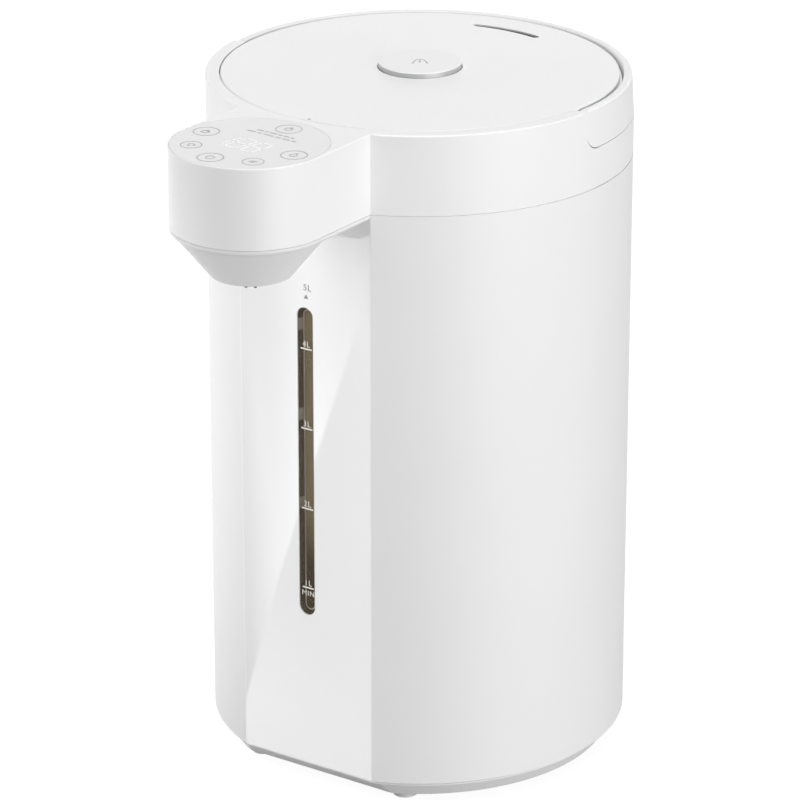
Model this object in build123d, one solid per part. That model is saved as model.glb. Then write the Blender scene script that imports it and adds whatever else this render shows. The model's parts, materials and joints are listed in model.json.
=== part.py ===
import math
import os
from build123d import *

# Hot water dispenser, free standing. Millimetres, +Z up, front towards -Y.
# The origin lies on the body's axis, in the plane that the feet stand on.

# Body outline and stack of heights
body_radius = 105.0
panel_width = 77.0
foot_height = 4.0
base_height = 9.5
shell_height = 296.5
collar_height = 40.0
shell_wall = 2.2
panel_thickness = 2.5
panel_edge_round = 0.4
seam_gap = 0.06
seam_reveal = 0.6
seam_reveal_depth = 0.8
cowl_reveal = 0.2

# Base cover
base_inset_low = 7.8
base_inset_high = 1.6
base_flat_setback = 3.0
base_wall = 2.5
spigot_height = 12.0
spigot_clearance = 0.4
foot_radius = 6.0
foot_inset = 17.5
foot_angles = (30, 150, 210, 330)
foot_plug_radius = 3.0
plug_clearance = 0.1
post_height = 26.0
post_radius = 5.0
vent_count = 7
vent_pitch = 8.0
vent_width = 3.0
vent_length = 46.0

# Level window and sight tube
slot_width = 9.6
slot_above_pot_floor = 27.4
slot_below_seam = 54.5
lens_clearance = 0.1
lens_recess = 0.3
lens_flange_width = 3.0
lens_flange_thickness = 0.8
sight_tube_radius = 3.0
sight_tube_bore = 2.2
hose_wall = 0.85
hose_fit = 0.05
side_clearance = 0.3

# Water pot and what holds it
pot_wall = 0.8
pot_floor_above_floor = 66.7
neck_step = 5.0
neck_rise = 8.0
neck_below_seam = 16.0
pot_flange_width = 4.7
pot_flange_rise = 3.0
pot_seal_height = 4.0
jacket_gap = 0.4
jacket_thickness = 1.6
jacket_end_gap = 5.0
jacket_opening = 30.0
rod_radius = 2.5
rod_clearance = 0.5
rod_angles = (60, 120, 240, 300)
frame_thickness = 6.0
frame_edge_gap = 0.5
frame_neck_gap = 0.5
flange_lip_thickness = 2.0
flange_lip_width = 6.0

# Screws
screw_radius = 1.5
screw_clearance = 0.1
screw_head_radius = 2.8
screw_head_height = 2.0
screw_grip = 10.0
collar_screw_angles = (42, 138, 222, 318)
collar_screw_inset = 10.5
boss_radius = 4.5

# Heater under the pot
heater_outlet_gap = 4.3
heater_thickness = 4.0
element_inset = 11.0
element_half_width = 4.0
element_height = 4.5
sensor_radius = 6.0
sensor_height = 11.0
cutout_size = (14.0, 22.0, 7.0)

# Pump below the pot's outlet
delivery_run = 13.1
outlet_radius = 5.0
outlet_length = 8.0
motor_radius = 14.0
motor_height = 20.0
motor_pad = 2.5
motor_ring_wall = 2.2
motor_ring_height = 8.0
motor_ring_clearance = 0.2
pump_radius = 20.0
pump_wall = 2.5
chamber_height = 12.0
pump_cover_thickness = 3.5
inlet_stub_length = 9.0
delivery_stub_length = 7.0
shaft_radius = 1.5
shaft_clearance = 0.05
shaft_hole_clearance = 0.6
shaft_depth = 6.0
impeller_radius = 14.0
impeller_disc = 1.6
impeller_hub = 4.0
blade_count = 6
blade_height = 6.0
blade_thickness = 1.4
impeller_gap = 1.0
delivery_bend = 6.0
outlet_bend = 12.0
hose_lap = 7.0

# Power board and inlet
board_size = (90.0, 56.0, 1.6)
board_inlet_gap = 27.2
board_post_height = 14.0
board_post_radius = 3.5
board_post_margin = 5.0
transformer_size = (30.0, 26.0, 22.0)
relay_size = (20.0, 16.0, 15.0)
capacitor_radius = 8.0
capacitor_height = 22.0
inlet_rise = 30.0
inlet_width = 30.0
inlet_height = 22.0
inlet_depth = 20.0
inlet_wall = 2.0
inlet_bezel = 2.0
inlet_bezel_thickness = 1.2
pin_spacing = 14.0
pin_width = 4.0
pin_thickness = 2.0
pin_length = 15.0
pin_tail = 6.0
earth_rise = 4.0

# Wire loom from the power board up to the head
loom_radius = 2.0
loom_bend = 9.0
loom_angle = 25.0
loom_clearance = 0.4
loom_board_inset = 12.0
loom_crossing = 20.0
loom_head_x = 10.0
loom_head_inset = 7.0

# Collar, head and spout
collar_wall = 2.4
rim_width = 6.7
rim_round = 0.6
lid_gap = 0.5
lid_seat_depth = 3.4
ledge_thickness = 3.0
bore_beyond_neck = 3.0
collar_inner_wall = 1.6
head_land = 4.2
head_border = 0.8
touch_panel_thickness = 1.2
touch_panel_clearance = 0.15
head_top = 2.2
display_size = (44.0, 16.0, 4.0)
display_gap = 0.3
control_board_inset = 6.7
control_board_thickness = 1.6
control_post_height = 4.0
control_post_radius = 3.0
control_post_inset = 4.0
control_post_angles = (50, 130, 230, 310)
cowl_plate = 3.0
cowl_round = 2.6
cowl_wall = 2.0
cowl_top_inset = 2.0
cowl_mouth_radius = 19.5
cowl_mouth_round = 1.6
cowl_drop = 24.2
cowl_lip_height = 5.0
cowl_lip_wall = 1.6
cowl_lip_clearance = 0.2
nozzle_radius = 4.6
nozzle_bore = 2.2
nozzle_proud = 6.1
nozzle_notch_count = 6
nozzle_notch_width = 1.5
nozzle_notch_height = 2.6
nozzle_flange_radius = 8.0
nozzle_flange_height = 2.0
nozzle_barb_length = 12.0
nozzle_clearance = 0.1
hose_crest_below_rim = 23.0

# Carry handle
handle_height = 19.5
handle_gap = 1.8
handle_lean = 1.2
handle_top_round = 1.0
handle_recess_gap = 0.3
handle_backing_gap = 0.7
handle_backing_wall = 2.4
grip_heading = 180.0
grip_span = 64.0
tongue_length = 8.0
tongue_inset = 1.2
tongue_clearance = 0.1
pivot_before_axis = 2.6
pivot_below_rim = 5.4
lug_reach = 9.0
lug_low_round = 8.9
lug_top_round = 4.2
pivot_boss_wall = 2.0
pin_radius = 1.5
pin_clearance = 0.05
pin_lug_depth = 3.2
pin_boss_depth = 7.0

# Lid, latches and release button
lid_rise = 1.75
lid_edge_round = 1.0
lid_wall = 2.2
lid_skirt = 2.4
lid_body_clearance = 0.5
lid_body_wall = 2.0
lid_plug_inset = 3.5
lid_plug_depth = 11.0
lid_floor_gap = 1.0
lid_plate_inset = 2.0
lid_plate_thickness = 1.2
lid_seal_height = 5.0
lid_seal_gap = 0.4
lid_screw_inset = 18.5
lid_screw_angles = (45, 135, 225, 315)
lid_post_radius = 4.0
steam_slot_inset = 4.1
steam_slot_heading = 90.0
steam_slot_span = 26.0
steam_slot_width = 3.8
steam_wall = 0.8
steam_recess = 0.8
steam_flange_width = 7.0
steam_flange_height = 1.5
steam_hole_radius = 2.5
steam_hole_inset = 16.5
steam_hole_angles = (155, 205)
button_radius = 20.5
button_gap = 0.45
button_proud = 2.6
button_wall = 1.8
button_top_wall = 2.0
button_edge_round = 0.4
button_skirt_below_seat = 1.0
button_stroke = 4.0
button_tube_wall = 2.0
stem_radius = 4.0
stem_clearance = 0.2
guide_wall = 2.2
guide_height = 17.0
spring_wire = 0.5
spring_radius = 5.4
spring_turns = 6
latch_below_seat = 6.0
latch_thickness = 4.0
latch_width = 16.0
latch_inner = 16.5
latch_engagement = 4.5
latch_clearance = 0.25
latch_tip_chamfer = 1.5
keyway_gap = 1.5
finger_inner = 15.3
finger_thickness = 3.0
finger_width = 6.0
finger_overrun = 1.0
rail_start = 34.0
rail_width = 3.0
rail_wall = 2.0

# Places that follow from the sizes above
panel_half = panel_width / 2
flat_front = math.sqrt(body_radius**2 - panel_half**2)
panel_back = flat_front - panel_thickness
shell_bore = body_radius - shell_wall

z_base = foot_height
z_shell = z_base + base_height
z_seam = z_shell + shell_height
z_rim = z_seam + collar_height
z_seat = z_rim - lid_seat_depth
z_base_floor = z_base + base_wall

sight_tube_y = panel_back - lens_flange_thickness - side_clearance - sight_tube_radius
pot_outer = sight_tube_y - sight_tube_radius - side_clearance
pot_inner = pot_outer - pot_wall
neck_inner = pot_inner - neck_step
neck_outer = neck_inner + pot_wall
pot_flange_radius = neck_inner + pot_flange_width
z_pot_floor = pot_floor_above_floor
z_pot_under = z_pot_floor - pot_wall
z_slot_low = z_pot_floor + slot_above_pot_floor
z_slot_high = z_seam - slot_below_seam
slot_length = z_slot_high - z_slot_low
z_neck_low = z_seam - neck_below_seam
z_neck_high = z_neck_low + neck_rise
z_flange = z_seam + pot_flange_rise
z_frame_top = z_flange - pot_wall
z_frame_low = z_frame_top - frame_thickness
z_seal_top = z_flange + pot_seal_height
jacket_inner = pot_outer + jacket_gap
jacket_outer = jacket_inner + jacket_thickness
rod_circle = jacket_outer + rod_clearance + rod_radius
z_post_top = z_base_floor + post_height
hose_outer = sight_tube_radius + hose_fit + hose_wall
hose_bore = sight_tube_radius + hose_fit

pump_offset = sight_tube_y - pump_radius - delivery_run
outlet_outer = outlet_radius + pot_wall
heater_radius = pump_offset - outlet_outer - hose_fit - hose_wall - heater_outlet_gap
element_radius = heater_radius - element_inset

z_motor_low = z_base_floor + motor_pad
z_motor_top = z_motor_low + motor_height
z_chamber_low = z_motor_top + pump_wall
z_chamber_top = z_chamber_low + chamber_height
z_pump_top = z_chamber_top + pump_cover_thickness
z_delivery = z_chamber_low + chamber_height / 2
z_sight_low = z_delivery + delivery_bend + hose_lap / 2
z_sight_top = z_neck_low + hose_lap + hose_wall + sight_tube_radius

lid_bore = body_radius - rim_width
lid_radius = lid_bore - lid_gap
collar_bore = neck_inner + bore_beyond_neck
collar_inner_outer = collar_bore + collar_inner_wall
handle_inner = lid_radius + handle_gap
pivot_y = -pivot_before_axis
backing_radius = handle_inner - handle_backing_gap
z_pivot = z_rim - pivot_below_rim
z_handle_low = z_rim - handle_height
z_shelf = z_handle_low - handle_recess_gap
lug_sweep = math.hypot(lug_reach - lug_top_round, pivot_below_rim - lug_top_round) + lug_top_round
pocket_radius = lug_sweep + handle_recess_gap
z_pocket = z_handle_low + lug_low_round

nose_radius = panel_half
touch_panel_radius = nose_radius - head_border
head_reach = lid_bore + head_land + touch_panel_radius
control_board_radius = touch_panel_radius - control_board_inset
control_post_circle = control_board_radius - control_post_inset
z_head_under = z_rim - touch_panel_thickness - head_top
z_cowl_low = z_seam - cowl_drop
z_cowl_plate = z_seam - cowl_plate
z_nozzle_low = z_cowl_low - nozzle_proud
z_nozzle_seat = z_cowl_low + cowl_wall
z_nozzle_top = z_nozzle_seat + nozzle_flange_height + nozzle_barb_length
z_hose_crest = z_rim - hose_crest_below_rim
z_control_board = z_head_under - control_post_height

lid_body_radius = collar_bore - lid_body_clearance
lid_body_bore = lid_body_radius - lid_body_wall
z_lid_step = z_seal_top + lid_floor_gap
z_lid_low = z_lid_step - lid_plug_depth
z_lid_floor = z_lid_low + lid_body_wall
lid_plug_radius = neck_inner - lid_plug_inset
lid_plate_radius = neck_inner - lid_plate_inset
lid_screw_circle = lid_plug_radius - lid_screw_inset
steam_hole_circle = lid_plug_radius - steam_hole_inset
steam_slot_radius = lid_body_bore - steam_slot_inset
button_hole = button_radius + button_gap
z_latch_top = z_seat - latch_below_seat
z_latch_low = z_latch_top - latch_thickness
z_button_skirt = z_seat - button_skirt_below_seat
z_guide_top = z_lid_floor + guide_height
latch_tip = lid_body_radius + latch_engagement


def lid_surface(radius):
    """Height of the lid's shallow crown at a distance from the axis."""
    return z_rim + lid_rise * (1 - (radius / lid_radius) ** 2)


z_button_top = lid_surface(button_hole) + button_proud
z_button_under = z_button_top - button_top_wall


def polar(radius, degrees):
    """A point on a circle, with the angle counted from the front."""
    turn = math.radians(degrees)
    return radius * math.sin(turn), -radius * math.cos(turn)


def disc(radius, low, high, x=0.0, y=0.0):
    align = (Align.CENTER, Align.CENTER, Align.MIN)
    return Pos(x, y, low) * Cylinder(radius, high - low, align=align)


def tube(outer, inner, low, high, x=0.0, y=0.0):
    return disc(outer, low, high, x, y) - disc(inner, low, high, x, y)


def block(x_low, x_high, y_low, y_high, z_low, z_high):
    align = (Align.MIN, Align.MIN, Align.MIN)
    return Pos(x_low, y_low, z_low) * Box(x_high - x_low, y_high - y_low, z_high - z_low, align=align)


def bar_x(radius, x_low, x_high, y, z):
    align = (Align.CENTER, Align.CENTER, Align.MIN)
    return Pos(x_low, y, z) * Rot(0, 90, 0) * Cylinder(radius, x_high - x_low, align=align)


def bar_y(radius, y_low, y_high, x, z):
    align = (Align.CENTER, Align.CENTER, Align.MIN)
    return Pos(x, y_low, z) * Rot(-90, 0, 0) * Cylinder(radius, y_high - y_low, align=align)


def rectangle(x_low, x_high, y_low, y_high):
    return Pos((x_low + x_high) / 2, (y_low + y_high) / 2) * Rectangle(x_high - x_low, y_high - y_low)


def raise_sketch(sketch, low, high):
    return extrude(Pos(0, 0, low) * sketch, high - low)


def turned(points, x=0.0, y=0.0):
    """A solid of revolution about a vertical axis, from (radius, height) points."""
    face = make_face(Polyline(*points, close=True))
    return Pos(x, y, 0) * revolve(Plane.XZ * face, Axis.Z)


def side_prism(points, half_width):
    """A prism across the body, from (y, z) points."""
    face = make_face(Polyline(*points, close=True))
    return extrude(Plane.YZ * face, half_width, both=True)


def body_outline(inset, setback=0.0):
    """The round body with its flat front, drawn in by an inset, the flat by a setback more."""
    radius = body_radius - inset
    return Circle(radius) - rectangle(-2 * radius, 2 * radius, -3 * radius, inset + setback - flat_front)


def body_prism(inset, low, high):
    return raise_sketch(body_outline(inset), low, high)


def tapered_prism(inset_low, inset_high, low, high):
    foot = Pos(0, 0, low) * body_outline(inset_low, base_flat_setback)
    return loft([foot, Pos(0, 0, high) * body_outline(inset_high)], ruled=True)


def head_outline(inset, back):
    """The head seen from above: straight sides and a full round nose."""
    half = nose_radius - inset
    return Pos(0, -head_reach) * Circle(half) + rectangle(-half, half, -head_reach, back)


def slot_prism(width, length, y_low, y_high):
    """A round-ended upright bar behind the slot in the front panel."""
    middle = (z_slot_low + z_slot_high) / 2
    face = Pos(0, middle) * SlotOverall(length, width, rotation=90)
    return extrude(Plane.XZ.offset(-y_low) * face, y_low - y_high)


def arc_bar(width, low, high):
    """A round-ended bar that follows the steam slot."""
    line = CenterArc((0, 0), steam_slot_radius, steam_slot_heading - steam_slot_span / 2, steam_slot_span)
    return raise_sketch(SlotArc(line, width), low, high)


def pipe(path, outer, inner):
    start = Plane(origin=path @ 0, z_dir=path % 0)
    return sweep(start * Circle(outer), path) - sweep(start * Circle(inner), path)


def screw_from_above(x, y, z_seat_face, length):
    head = disc(screw_head_radius, z_seat_face, z_seat_face + screw_head_height, x, y)
    return head + disc(screw_radius, z_seat_face - length, z_seat_face, x, y)


def screw_from_below(x, y, z_seat_face, length):
    head = disc(screw_head_radius, z_seat_face - screw_head_height, z_seat_face, x, y)
    return head + disc(screw_radius, z_seat_face, z_seat_face + length, x, y)


def group(solids):
    return Compound(children=list(solids))


def write(name, shape):
    export_step(shape, os.path.join("parts", name + ".step"))


# Base: cover, feet and shell
foot_places = [polar(body_radius - foot_inset, angle) for angle in foot_angles]
rod_places = [polar(rod_circle, angle) for angle in rod_angles]
screw_hole = screw_radius + screw_clearance
head_hole = screw_head_radius + screw_clearance
z_inlet = z_shell + inlet_rise
inlet_face = body_radius + inlet_bezel_thickness
inlet_half_x = inlet_width / 2
inlet_half_z = inlet_height / 2
inlet_back = inlet_face - inlet_depth
board_middle_y = inlet_back - board_inlet_gap - board_size[1] / 2
board_half_x = board_size[0] / 2 - board_post_margin
board_half_y = board_size[1] / 2 - board_post_margin
board_places = [
    (x, board_middle_y + y)
    for x in (-board_half_x, board_half_x)
    for y in (-board_half_y, board_half_y)
]
z_board = z_base_floor + board_post_height
z_board_top = z_board + board_size[2]
motor_seat = motor_radius + motor_ring_clearance
pump_y = -pump_offset
z_counterbore = z_base + screw_head_height


def make_rubber_feet():
    plug = foot_plug_radius
    return group(
        disc(foot_radius, 0, foot_height, x, y) + disc(plug, foot_height, z_base_floor, x, y)
        for x, y in foot_places
    )


def make_base_cover():
    skirt = tapered_prism(base_inset_low, base_inset_high, z_base, z_shell)
    hollow = tapered_prism(base_inset_low + base_wall, base_inset_high + base_wall, z_base_floor, z_shell)
    spigot_inset = panel_thickness + spigot_clearance
    z_spigot = z_shell + spigot_height
    spigot = body_prism(spigot_inset, z_shell - base_wall, z_spigot)
    spigot -= body_prism(spigot_inset + base_wall, z_shell - base_wall, z_spigot)
    cover = skirt - hollow + spigot
    for x, y in rod_places:
        cover += disc(post_radius, z_base_floor, z_post_top, x, y)
        cover -= disc(screw_hole, z_base, z_post_top, x, y)
        cover -= disc(head_hole, z_base, z_counterbore, x, y)
    for x, y in board_places:
        cover += tube(board_post_radius, screw_hole, z_base_floor, z_board, x, y)
    for x, y in foot_places:
        cover -= disc(foot_plug_radius + plug_clearance, z_base, z_base_floor, x, y)
    cover += disc(motor_seat + motor_ring_wall, z_base_floor, z_motor_low + motor_ring_height, 0, pump_y)
    cover -= disc(motor_seat, z_motor_low, z_motor_low + motor_ring_height, 0, pump_y)
    for index in range(vent_count):
        x = (index - (vent_count - 1) / 2) * vent_pitch
        slot = Pos(x, board_middle_y) * SlotOverall(vent_length, vent_width, rotation=90)
        cover -= raise_sketch(slot, z_base, z_base_floor)
    return cover


def make_base_screws():
    length = z_post_top - z_counterbore + screw_grip
    shanks = (disc(screw_radius, z_counterbore, z_counterbore + length, x, y) for x, y in rod_places)
    heads = (disc(screw_head_radius, z_base, z_counterbore, x, y) for x, y in rod_places)
    return group(shank + head for shank, head in zip(shanks, heads))


def make_outer_shell():
    shell = tube(body_radius, shell_bore, z_shell, z_seam)
    gap = panel_half + seam_gap
    shell -= block(-gap, gap, -2 * body_radius, 0, z_shell, z_seam)
    lip_low = z_shell + spigot_height + side_clearance
    for side in (-1, 1):
        edges = sorted((side * (panel_half - flange_lip_width), side * body_radius))
        lip = block(*edges, -panel_back, flange_lip_thickness - panel_back, lip_low, z_frame_low)
        shell += lip & disc(body_radius - shell_wall / 2, lip_low, z_frame_low)
    shell -= block(
        -inlet_half_x - seam_gap, inlet_half_x + seam_gap, 0, 2 * body_radius,
        z_inlet - inlet_half_z - seam_gap, z_inlet + inlet_half_z + seam_gap,
    )
    return shell


def make_front_panel():
    panel = block(-panel_half, panel_half, -flat_front, -panel_back, z_shell, z_seam)
    edges = panel.edges().filter_by(Axis.Z).group_by(Axis.Y)[0]
    panel = fillet(edges, panel_edge_round)
    return panel - slot_prism(slot_width, slot_length, -flat_front, -panel_back)


def make_level_window():
    width = slot_width - 2 * lens_clearance
    length = slot_length - 2 * lens_clearance
    lens = slot_prism(width, length, lens_recess - flat_front, -panel_back)
    grow = 2 * lens_flange_width
    flange_back = lens_flange_thickness - panel_back
    return lens + slot_prism(slot_width + grow, slot_length + grow, -panel_back, flange_back)


# Pot, heater and the frame that holds them
def necked_prism(radius, neck):
    """The pot's round form above its floor, drawn in at the neck."""
    low, high = z_pot_floor, z_flange
    side = [(radius, low), (radius, z_neck_low), (neck, z_neck_high), (neck, high)]
    return turned([(0, low), *side, (0, high)])


z_outlet_low = z_pot_under - outlet_length


def make_inner_pot():
    wall = necked_prism(pot_outer, neck_outer) + disc(pot_flange_radius, z_frame_top, z_flange)
    return wall - necked_prism(pot_inner, neck_inner)


def make_pot_floor():
    floor = disc(pot_outer, z_pot_under, z_pot_floor)
    floor += disc(outlet_outer, z_outlet_low, z_pot_under, 0, pump_y)
    return floor - disc(outlet_radius, z_outlet_low, z_pot_floor, 0, pump_y)


def make_pot_seal():
    return tube(pot_flange_radius, neck_inner + lid_seal_gap, z_flange, z_seal_top)


def make_insulation_jacket():
    low = z_pot_floor + jacket_end_gap
    jacket = tube(jacket_outer, jacket_inner, low, z_neck_low - jacket_end_gap)
    half = jacket_opening / 2
    return jacket - block(-half, half, -body_radius, 0, low, z_seam)


frame_flat = panel_back - flange_lip_thickness - frame_edge_gap
collar_screw_places = [polar(body_radius - collar_screw_inset, angle) for angle in collar_screw_angles]


def make_upper_frame():
    radius = shell_bore - frame_edge_gap
    frame = tube(radius, neck_outer + frame_neck_gap, z_frame_low, z_frame_top)
    frame -= block(-radius, radius, -radius, -frame_flat, z_frame_low, z_frame_top)
    notch = hose_outer + side_clearance
    frame -= block(-notch, notch, -radius, notch - sight_tube_y, z_frame_low, z_frame_top)
    for x, y in rod_places + collar_screw_places:
        frame -= disc(screw_hole, z_frame_low, z_frame_top, x, y)
    frame -= disc(loom_radius + loom_clearance, z_frame_low, z_frame_top, loom_x, loom_y)
    return frame


def make_tie_rods():
    rods = (disc(rod_radius, z_post_top, z_frame_low, x, y) for x, y in rod_places)
    low_bores = [disc(screw_hole, z_post_top, z_post_top + screw_grip, x, y) for x, y in rod_places]
    high_bores = [disc(screw_hole, z_frame_low - screw_grip, z_frame_low, x, y) for x, y in rod_places]
    return group(rod - low - high for rod, low, high in zip(rods, low_bores, high_bores))


def make_frame_screws():
    length = frame_thickness + screw_grip
    return group(screw_from_above(x, y, z_frame_top, length) for x, y in rod_places)


def make_collar_screws():
    length = frame_thickness + screw_grip
    return group(screw_from_below(x, y, z_frame_low, length) for x, y in collar_screw_places)


z_heater_low = z_pot_under - heater_thickness


def make_heater_plate():
    plate = disc(heater_radius, z_heater_low, z_pot_under)
    ring = tube(element_radius + element_half_width, element_radius - element_half_width,
                z_heater_low - element_height, z_heater_low)
    return plate + ring


def make_temperature_sensor():
    return disc(sensor_radius, z_heater_low - sensor_height, z_heater_low)


def make_thermal_cutout():
    half_x, half_y, height = cutout_size[0] / 2, cutout_size[1] / 2, cutout_size[2]
    high = z_heater_low - element_height
    return block(-half_x - element_radius, half_x - element_radius, -half_y, half_y, high - height, high)


# Pump and water path
z_impeller = z_chamber_low + impeller_gap
z_impeller_top = z_impeller + impeller_disc + blade_height


def make_pump_motor():
    motor = disc(motor_radius, z_motor_low, z_motor_top, 0, pump_y)
    return motor - disc(shaft_radius + shaft_clearance, z_motor_top - shaft_depth, z_motor_top, 0, pump_y)


def make_pump_housing():
    housing = disc(pump_radius, z_motor_top, z_chamber_top, 0, pump_y)
    stub_end = pump_y - pump_radius - delivery_stub_length
    housing += bar_y(sight_tube_radius, stub_end, pump_y, 0, z_delivery)
    housing -= disc(pump_radius - pump_wall, z_chamber_low, z_chamber_top, 0, pump_y)
    housing -= bar_y(sight_tube_bore, stub_end, pump_y, 0, z_delivery)
    return housing - disc(shaft_radius + shaft_hole_clearance, z_motor_top, z_chamber_low, 0, pump_y)


def make_pump_cover():
    top = z_pump_top + inlet_stub_length
    cover = disc(pump_radius, z_chamber_top, z_pump_top, 0, pump_y)
    cover += disc(outlet_outer, z_pump_top, top, 0, pump_y)
    return cover - disc(outlet_radius, z_chamber_top, top, 0, pump_y)


def make_pump_impeller():
    wheel = disc(impeller_radius, z_impeller, z_impeller + impeller_disc, 0, pump_y)
    wheel += disc(impeller_hub, z_impeller, z_impeller_top, 0, pump_y)
    half = blade_thickness / 2
    blade = block(0, impeller_radius, -half, half, z_impeller, z_impeller_top)
    blade &= disc(impeller_radius, z_impeller, z_impeller_top)
    for index in range(blade_count):
        wheel += Pos(0, pump_y, 0) * Rot(0, 0, index * 360 / blade_count) * blade
    shaft_low = z_motor_top - shaft_depth + impeller_gap
    return wheel + disc(shaft_radius, shaft_low, z_impeller, 0, pump_y)


def make_suction_hose():
    inner = outlet_outer + hose_fit
    return tube(inner + hose_wall, inner, z_pump_top, z_outlet_low + outlet_length / 2, 0, pump_y)


def make_delivery_hose():
    start = pump_y - pump_radius - side_clearance
    path = FilletPolyline(
        (0, start, z_delivery), (0, -sight_tube_y, z_delivery),
        (0, -sight_tube_y, z_sight_low + hose_lap), radius=delivery_bend,
    )
    return pipe(path, hose_outer, hose_bore)


def make_level_tube():
    return tube(sight_tube_radius, sight_tube_bore, z_sight_low, z_sight_top, 0, -sight_tube_y)


def make_outlet_hose():
    low = z_sight_top - hose_lap
    end = z_nozzle_top - hose_lap
    path = FilletPolyline(
        (0, -sight_tube_y, low), (0, -sight_tube_y, z_hose_crest),
        (0, -head_reach, z_hose_crest), (0, -head_reach, end), radius=outlet_bend,
    )
    return pipe(path, hose_outer, hose_bore)


def make_spout_nozzle():
    z_flange_top = z_nozzle_seat + nozzle_flange_height
    nozzle = disc(nozzle_radius, z_nozzle_low, z_flange_top, 0, -head_reach)
    nozzle += disc(nozzle_flange_radius, z_nozzle_seat, z_flange_top, 0, -head_reach)
    nozzle += disc(sight_tube_radius, z_flange_top, z_nozzle_top, 0, -head_reach)
    half = nozzle_notch_width / 2
    notch = block(-half, half, -nozzle_radius, 0, z_nozzle_low, z_nozzle_low + nozzle_notch_height)
    for index in range(nozzle_notch_count):
        nozzle -= Pos(0, -head_reach) * Rot(0, 0, 360 * index / nozzle_notch_count) * notch
    return nozzle - disc(nozzle_bore, z_nozzle_low, z_nozzle_top, 0, -head_reach)


# Electrical pieces
def make_power_board():
    half_x, half_y = board_size[0] / 2, board_size[1] / 2
    board = block(-half_x, half_x, board_middle_y - half_y, board_middle_y + half_y, z_board, z_board_top)
    for x, y in board_places:
        board -= disc(screw_hole, z_board, z_board_top, x, y)
    return board


def make_board_screws():
    length = board_size[2] + board_post_height - base_wall
    return group(screw_from_above(x, y, z_board_top, length) for x, y in board_places)


def on_board(size, x, y):
    return block(x - size[0] / 2, x + size[0] / 2, y - size[1] / 2, y + size[1] / 2,
                 z_board_top, z_board_top + size[2])


def make_board_parts():
    side = board_half_x / 2
    row = board_half_y / 2
    transformer = on_board(transformer_size, -side, board_middle_y)
    relay = on_board(relay_size, side, board_middle_y + row)
    top = z_board_top + capacitor_height
    capacitor = disc(capacitor_radius, z_board_top, top, side, board_middle_y - row)
    return group((transformer, relay, capacitor))


pin_places = [
    (-pin_spacing / 2, 0.0, pin_thickness, pin_width),
    (pin_spacing / 2, 0.0, pin_thickness, pin_width),
    (0.0, earth_rise, pin_width, pin_thickness),
]


def pin_bar(place, clearance, y_low, y_high):
    x, rise, wide, tall = place
    half_x = wide / 2 + clearance
    half_z = tall / 2 + clearance
    z = z_inlet + rise
    return block(x - half_x, x + half_x, y_low, y_high, z - half_z, z + half_z)


def make_power_inlet():
    body = block(-inlet_half_x, inlet_half_x, inlet_back, inlet_face,
                 z_inlet - inlet_half_z, z_inlet + inlet_half_z)
    half_x, half_z = inlet_half_x + inlet_bezel, inlet_half_z + inlet_bezel
    bezel = block(-half_x, half_x, 0, inlet_face, z_inlet - half_z, z_inlet + half_z)
    bezel &= tube(inlet_face, body_radius, z_shell, z_seam)
    inlet = (body & disc(inlet_face, z_shell, z_seam)) + bezel
    in_x, in_z = inlet_half_x - inlet_wall, inlet_half_z - inlet_wall
    inlet -= block(-in_x, in_x, inlet_back + inlet_wall, inlet_face, z_inlet - in_z, z_inlet + in_z)
    for place in pin_places:
        inlet -= pin_bar(place, hose_fit, inlet_back, inlet_back + inlet_wall)
    return inlet


def make_inlet_pins():
    low = inlet_back - pin_tail
    high = inlet_back + pin_length
    return group(pin_bar(place, 0.0, low, high) for place in pin_places)


loom_x, loom_y = polar((jacket_outer + shell_bore) / 2, loom_angle)


def make_wire_loom():
    z_cross = z_board_top + loom_crossing
    z_head = z_hose_crest
    board_x = board_size[0] / 2 - loom_board_inset
    board_y = board_middle_y - board_size[1] / 2 + loom_board_inset
    head_y = -head_reach + control_board_radius - loom_head_inset
    path = FilletPolyline(
        (board_x, board_y, z_board_top),
        (board_x, board_y, z_cross),
        (loom_x, loom_y, z_cross),
        (loom_x, loom_y, z_head),
        (loom_head_x, head_y, z_head),
        (loom_head_x, head_y, z_control_board - control_board_thickness),
        radius=loom_bend,
    )
    start = Plane(origin=path @ 0, z_dir=path % 0)
    return sweep(start * Circle(loom_radius), path)


def control_posts():
    return [polar(control_post_circle, angle) for angle in control_post_angles]


def make_control_board():
    low = z_control_board - control_board_thickness
    board = disc(control_board_radius, low, z_control_board, 0, -head_reach)
    for x, y in control_posts():
        board -= disc(screw_hole, low, z_control_board, x, y - head_reach)
    return board


def make_control_screws():
    face = z_control_board - control_board_thickness
    length = control_board_thickness + control_post_height - screw_clearance
    return group(screw_from_below(x, y - head_reach, face, length) for x, y in control_posts())


def display_block(clearance, low, high):
    half_x = display_size[0] / 2 + clearance
    half_y = display_size[1] / 2 + clearance
    return block(-half_x, half_x, -head_reach - half_y, half_y - head_reach, low, high)


def make_display_module():
    return display_block(0.0, z_control_board, z_rim - touch_panel_thickness - display_gap)


def make_touch_panel():
    return disc(touch_panel_radius, z_rim - touch_panel_thickness, z_rim, 0, -head_reach)


# Collar with the head, and the spout cowl under it
def handle_side(shape, side):
    return shape if side > 0 else mirror(shape, Plane.YZ)


def pivot_bar(radius, x_low, x_high):
    return bar_x(radius, x_low, x_high, pivot_y, z_pivot)


def pocket_bar(radius, x_low, x_high):
    return bar_x(radius, x_low, x_high, pivot_y, z_pocket)


def latch_keyway():
    half = latch_width / 2 + latch_clearance
    reach = latch_tip + keyway_gap
    low = z_latch_low - latch_clearance
    return block(-half, half, -reach, reach, low, z_seat)


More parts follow.
